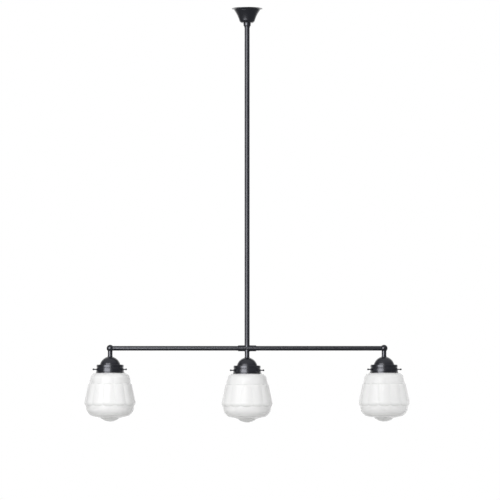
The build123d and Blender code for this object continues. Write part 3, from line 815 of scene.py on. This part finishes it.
@dataclass
class OpalShade(SubAssembly):
    """One blown shade: lipped neck, plain band, ring of flutes, bowl and nib.

    Sizes are in millimetres and angles in degrees. Heights count up, and depths
    down, from the gallery's lower edge.
    """

    name: str

    lip_radius: float = 38.0
    lip_top: float = 16.1
    lip_bottom: float = 12.1
    lip_rounding: float = 1.2
    bore_easing: float = 0.6
    throat_rounding: float = 0.8
    neck_radius: float = 35.5
    foot_rounding: float = 2.2
    crown: Point = (42.2, -0.5)
    wall: float = 3.0

    shoulder: Arc = Arc((42.2, -19.0), 18.5, 90.0, 11.1, 12)
    band: Run = Run((60.36, -15.44), (3.54, -17.96), 4)
    skirt: Run = Run((63.9, -33.4), (8.5, -57.1), 24)
    waist: Sequence[Point] = ((73.0, -96.0), (73.5, -100.0), (73.5, -104.0))
    bowl: Arc = Arc((50.8, -108.2), 22.0, 0.0, -45.0, 10)
    heel: Arc = Arc((51.1, -118.9), 14.0, -45.0, -78.0, 5)
    sole: Sequence[Point] = (
        (50.2, -133.4), (44.0, -134.9), (38.0, -136.2), (33.5, -137.2), (30.6, -138.0),
    )
    nib: Arc = Arc((0.0, -105.5), 44.0, -49.6, -90.0, 14)

    inner_sole: Sequence[Point] = (
        (0.0, -146.5), (28.5, -136.4), (40.0, -132.6),
        (50.0, -129.8), (57.0, -125.5), (63.0, -121.0),
    )
    inner_bowl: Arc = Arc((51.6, -108.2), 19.0, -40.0, 0.0, 8)
    inner_skirt: Sequence[Point] = (
        (70.6, -101.5), (73.0, -92.0), (68.0, -64.0), (61.6, -37.0),
    )
    inner_shoulder: Arc = Arc((42.2, -19.0), 15.5, 11.1, 90.0, 8)
    inner_crown: Arc = Arc((37.7, 0.2), 5.2, -90.0, -180.0, 5)
    bore_middle: float = 8.0

    flutes: int = 13
    flute_top: float = 33.4
    flute_end: float = 102.0
    valley_turn: float = 282.6
    valley_share: float = 0.0255
    valley_crowding: float = 0.09
    steps_per_flute: int = 22
    crests: Sequence[Point] = (
        (33.4, 63.6), (33.9, 65.0), (34.7, 66.2), (35.9, 66.95), (40.0, 67.85),
        (90.5, 78.55), (93.5, 78.25), (96.0, 77.45), (98.5, 76.0), (100.5, 74.4),
        (102.0, 73.0),
    )
    ring_depths: Sequence[tuple[float, float, int]] = (
        (33.4, 0.35, 8), (36.6, 3.4, 2), (44.0, 4.0, 12), (90.5, 1.0, 1),
        (91.5, 0.75, 14),
    )
    sharp_edge: float = 60.0

    def plain(self) -> list[Point]:
        """Outer profile without the flutes, from the crown down to the nib's tip.

        Returns:
            Radius and height of its points.
        """
        upper = self.shoulder.points() + self.band.points() + self.skirt.points()
        turned = self.bowl.points() + self.heel.points()
        return [*upper, *self.waist, *turned, *self.sole, *self.nib.points()]

    def swell(self, radius: float, height: float, turn: float) -> float:
        """Pushes the plain wall out to the flutes.

        Args:
            radius: the plain radius.
            height: height over the gallery's lower edge.
            turn: angle in degrees.

        Returns:
            The radius there.
        """
        crest = between(self.crests, -height, 0.0)
        pitch = 360.0 / self.flutes
        across = ((turn - self.valley_turn) % pitch) / pitch * 2.0 - 1.0
        lobe = 1.0 - across * across
        fluted = crest * (1.0 - self.valley_share * (1.0 - lobe))
        return max(radius, fluted)

    def turns(self) -> list[float]:
        """Angles of the mesh, closer together at the valleys.

        Returns:
            The angles in degrees.
        """
        pitch = 360.0 / self.flutes
        marks = []
        for flute in range(self.flutes):
            for step in range(self.steps_per_flute):
                share = step / self.steps_per_flute
                eased = share - self.valley_crowding * math.sin(2.0 * math.pi * share)
                marks.append(self.valley_turn + (flute + eased) * pitch)
        return marks

    def neck(self) -> list[Point]:
        """Outer profile of the lip and the neck, down to the crown.

        Returns:
            Radius and height of its points.
        """
        bore = self.neck_radius - self.wall
        corners = (
            (bore + self.bore_easing, self.lip_top, 0.0),
            (self.lip_radius, self.lip_top, self.lip_rounding),
            (self.lip_radius, self.lip_bottom, self.lip_rounding),
            (self.neck_radius, self.lip_bottom, self.throat_rounding),
            (self.neck_radius, self.crown[1], self.foot_rounding),
            (*self.crown, 0.0),
        )
        return rounded(corners)[:-1]

    def outside(self) -> list[Point]:
        """Outer profile from lip to tip, with rings where the flutes need them.

        Returns:
            Radius and height of its points.
        """
        rows = self.plain()
        above = [row for row in rows if row[1] > -self.flute_top]
        below = [row for row in rows if row[1] < -self.flute_end]
        by_depth = [(-height, radius) for radius, height in rows]
        fluted = []
        for first, spacing, count in self.ring_depths:
            for ring in range(count):
                depth = first + spacing * ring
                fluted.append((between(by_depth, depth, 0.0), -depth))
        return self.neck() + above + fluted + below

    def inside(self) -> list[Point]:
        """Inner profile from tip to lip.

        Returns:
            Radius and height of its points.
        """
        bore = self.neck_radius - self.wall
        return [
            *self.inner_sole,
            *self.inner_bowl.points(),
            *self.inner_skirt,
            *self.inner_shoulder.points(),
            *self.inner_crown.points(),
            (bore, self.bore_middle),
            (bore, self.lip_top - self.bore_easing),
        ]

    def build(self, frame: Mapping[str, dict], paints: Paintbox) -> None:
        """Builds the shade in place of its CAD node.

        Args:
            paints: the finishes.
        """
        node = f"glass_shade_{self.name}"
        low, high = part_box(f"gallery_{self.name}")
        plan = MeshPlan()
        place = upright_at((low[0] + high[0]) / 2, low[2])
        mouth, _ = plan.spin(self.outside(), place, self.turns(), self.swell)
        _, bore = plan.spin(self.inside(), place, self.turns())
        plan.join(bore, mouth)
        piece = plan.make(f"opal_shade_{self.name}", self.sharp_edge)
        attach(piece, "light_frame")
        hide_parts(node)
        paints.dress(piece, Finish.OPAL)
        LOG.info("shade: %s with %d faces", piece.name, len(piece.data.polygons))


# ---------------------------------------------------------------- studio


@dataclass(frozen=True)
class Softbox:
    """One soft light.

    Sizes are in metres and angles in degrees. Glossy surfaces show the light only
    where mirrored is set.
    """

    name: str
    azimuth: float
    elevation: float
    distance: float
    width: float
    height: float
    radiance: float
    mirrored: bool = True

    def build(self, target: Vector) -> None:
        """Places the light.

        Args:
            target: what it points at.
        """
        light = bpy.data.lights.new(self.name, "AREA")
        light.shape = "RECTANGLE"
        light.size = self.width
        light.size_y = self.height
        light.energy = self.radiance * math.pi * self.width * self.height
        lamp = bpy.data.objects.new(self.name, light)
        lamp.visible_glossy = self.mirrored
        bpy.context.scene.collection.objects.link(lamp)
        turn, rise = math.radians(self.azimuth), math.radians(self.elevation)
        level = math.cos(rise)
        way = Vector((math.sin(turn) * level, -math.cos(turn) * level, math.sin(rise)))
        lamp.location = target + way * self.distance
        lamp.rotation_mode = "QUATERNION"
        lamp.rotation_quaternion = (-way).to_track_quat("-Z", "Y")


@dataclass
class Studio:
    """Camera, lights, backdrop and floor, in metres.

    The edges are where a light or the floor's fade starts and ends.
    """

    target: Spot = (0.0089, 0.0, -0.7442)
    eye_height: float = -1.203
    distance: float = 10.7
    picture_width: float = 1.5355
    sensor: float = 36.0
    farthest: float = 100.0

    softboxes: Sequence[Softbox] = (
        Softbox("key_softbox", -28.0, 11.0, 4.0, 3.5, 3.6, 3.9),
        Softbox("right_fill", 82.0, 4.0, 3.6, 4.4, 3.0, 1.9, mirrored=False),
        Softbox("overhead_fill", 0.0, 80.0, 3.5, 4.0, 4.0, 0.3, mirrored=False),
    )
    aim_drop: float = 0.4
    front: float = 0.17
    back: float = 1.0
    back_edge: Point = (0.55, 0.95)
    top: float = 0.22
    top_edge: Point = (0.30, 0.95)

    floor_height: float = -3.0
    floor_half: float = 6.0
    floor_fade: Point = (0.35, 0.95)
    floor_patch: float = 0.4
    floor_dark: Colour = rgb(0.50, 0.50, 0.49)
    floor_light: Colour = rgb(0.54, 0.54, 0.53)
    floor_roughness: float = 0.8

    def camera(self) -> None:
        """Makes the camera at the photograph's viewing angle."""
        target = Vector(self.target)
        drop = target.z - self.eye_height
        level = math.sqrt(self.distance**2 - drop**2)
        eye = Vector((target.x, -level, self.eye_height))
        data = bpy.data.cameras.new("camera")
        data.sensor_width = self.sensor
        data.lens = self.sensor * self.distance / self.picture_width
        data.clip_end = self.farthest
        camera = bpy.data.objects.new("camera", data)
        bpy.context.scene.collection.objects.link(camera)
        camera.location = eye
        camera.rotation_mode = "QUATERNION"
        camera.rotation_quaternion = (target - eye).to_track_quat("-Z", "Y")
        bpy.context.scene.camera = camera

    def world(self) -> None:
        """White backdrop for the eye, and light that is stronger behind and above."""
        graph = Graph("studio", "worlds")
        way = graph.add("ShaderNodeTexCoord", output="Generated")
        behind = graph.along(way, "Y").ramp(*self.back_edge)
        above = graph.along(way, "Z").ramp(*self.top_edge)
        strength = self.front + behind * (self.back - self.front) + above * self.top
        lit = {"Color": WHITE, "Strength": strength}
        seen = {"Color": WHITE, "Strength": 1.0}
        around = graph.add("ShaderNodeBackground", {}, lit)
        backdrop = graph.add("ShaderNodeBackground", {}, seen)
        eye = graph.add("ShaderNodeLightPath", output="Is Camera Ray")
        mixed = graph.add("ShaderNodeMixShader", {}, {0: eye, 1: around, 2: backdrop})
        graph.end(mixed, "ShaderNodeOutputWorld")
        bpy.context.scene.world = graph.owner

    def paper(self) -> bpy.types.Material:
        """Pale paper that fades out towards the floor's edge.

        Returns:
            The material.
        """
        graph = Graph("pale_floor")
        cloud = graph.noise(self.floor_patch)
        colour = graph.blend(cloud, self.floor_dark, self.floor_light)
        near, far = (share * self.floor_half for share in self.floor_fade)
        flat = {0: graph.stretched(WITHOUT_HEIGHT)}
        settings = {"operation": "LENGTH"}
        reach = graph.add("ShaderNodeVectorMath", settings, flat, "Value")
        solid = 1.0 - reach.ramp(near, far)
        inputs = {"Base Color": colour, "Roughness": self.floor_roughness}
        matt = graph.add("ShaderNodeBsdfPrincipled", {}, inputs)
        clear = graph.add("ShaderNodeBsdfTransparent")
        mixed = graph.add("ShaderNodeMixShader", {}, {0: solid, 1: clear, 2: matt})
        graph.end(mixed, "ShaderNodeOutputMaterial")
        return graph.owner

    def floor(self) -> None:
        """A plain pale floor, which gloss doesn't mirror."""
        plan = MeshPlan()
        half = self.floor_half
        corners = ((-half, -half), (half, -half), (half, half), (-half, half))
        plan.faces = [tuple(plan.ring([(x, y, self.floor_height) for x, y in corners]))]
        piece = plan.make("floor")
        piece.data.materials.append(self.paper())
        piece.visible_glossy = False

    def build(self) -> None:
        """Builds the studio."""
        bpy.context.scene.view_settings.view_transform = "Standard"
        self.camera()
        self.world()
        self.floor()
        for softbox in self.softboxes:
            softbox.build(Vector(self.target) + Vector((0.0, 0.0, -self.aim_drop)))


# ---------------------------------------------------------------- the whole light


SHADES = ("left", "centre", "right")
SCREW_NUMBERS = (1, 2, 3)


def numbered(pattern: str, keys: Sequence[str]) -> list[str]:
    """Names made from a pattern.

    Args:
        pattern: a name with one gap.
        keys: what goes in the gap.

    Returns:
        The names.
    """
    return [pattern.format(key) for key in keys]


def sub_assemblies(shades: Sequence[str]) -> list[SubAssembly]:
    """The light's sub-assemblies, from the ceiling down.

    Args:
        shades: the shades' names.

    Returns:
        The sub-assemblies.
    """
    screws = [f"thumbscrew_{shade}_{k}" for shade in shades for k in SCREW_NUMBERS]
    ceiling = {
        Finish.ZINC: (
            "ceiling_strap", "stem_nut", "stem_washer", "block_screw", "clamp_screws",
        ),
        Finish.BRASS: ("earth_screw",),
        Finish.WHITE_PLASTIC: ("terminal_block",),
        Finish.PAINT: ("canopy", "canopy_collar"),
    }
    stem_and_bar = {
        Finish.STEM_PAINT: ("rod",),
        Finish.PAINT: (
            "cross_fitting", "arm_left", "arm_right", "ball_left", "ball_right",
        ),
        Finish.BRASS: ("rod_top_nipple", "rod_bottom_nipple", "arm_nipples"),
        Finish.ZINC: ("collar_grub_screw",),
    }
    galleries = {
        Finish.PAINT: (
            numbered("neck_{}", shades)
            + numbered("dome_{}", shades)
            + numbered("gallery_{}", shades)
            + screws
        ),
        Finish.BRASS: numbered("shade_nipple_{}", shades),
        Finish.ZINC: ("gallery_nuts",),
    }
    lamps = {
        Finish.BLACK_PLASTIC: numbered("lampholder_{}", shades),
        Finish.BRASS: numbered("threaded_shell_{}", shades) + ["centre_contacts"],
        Finish.LAMP_METAL: numbered("lamp_cap_{}", shades),
        Finish.LAMP_GLASS: numbered("lamp_globe_{}", shades),
        Finish.SHEATH: numbered("lamp_lead_{}", shades),
    }
    return [
        Dressing("ceiling", ceiling),
        Dressing("stem and bar", stem_and_bar),
        Dressing("galleries", galleries),
        Dressing("lamps", lamps),
        *(OpalShade(shade) for shade in shades),
    ]


def main() -> None:
    """Loads the frame, dresses it and lights it."""
    logging.basicConfig(level=logging.INFO, format="%(name)s %(message)s")
    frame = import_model()
    paints = Paintbox()
    for part in sub_assemblies(SHADES):
        part.build(frame, paints)
    Studio().build()
    bpy.context.view_layer.update()


if __name__ == "__main__":
    main()
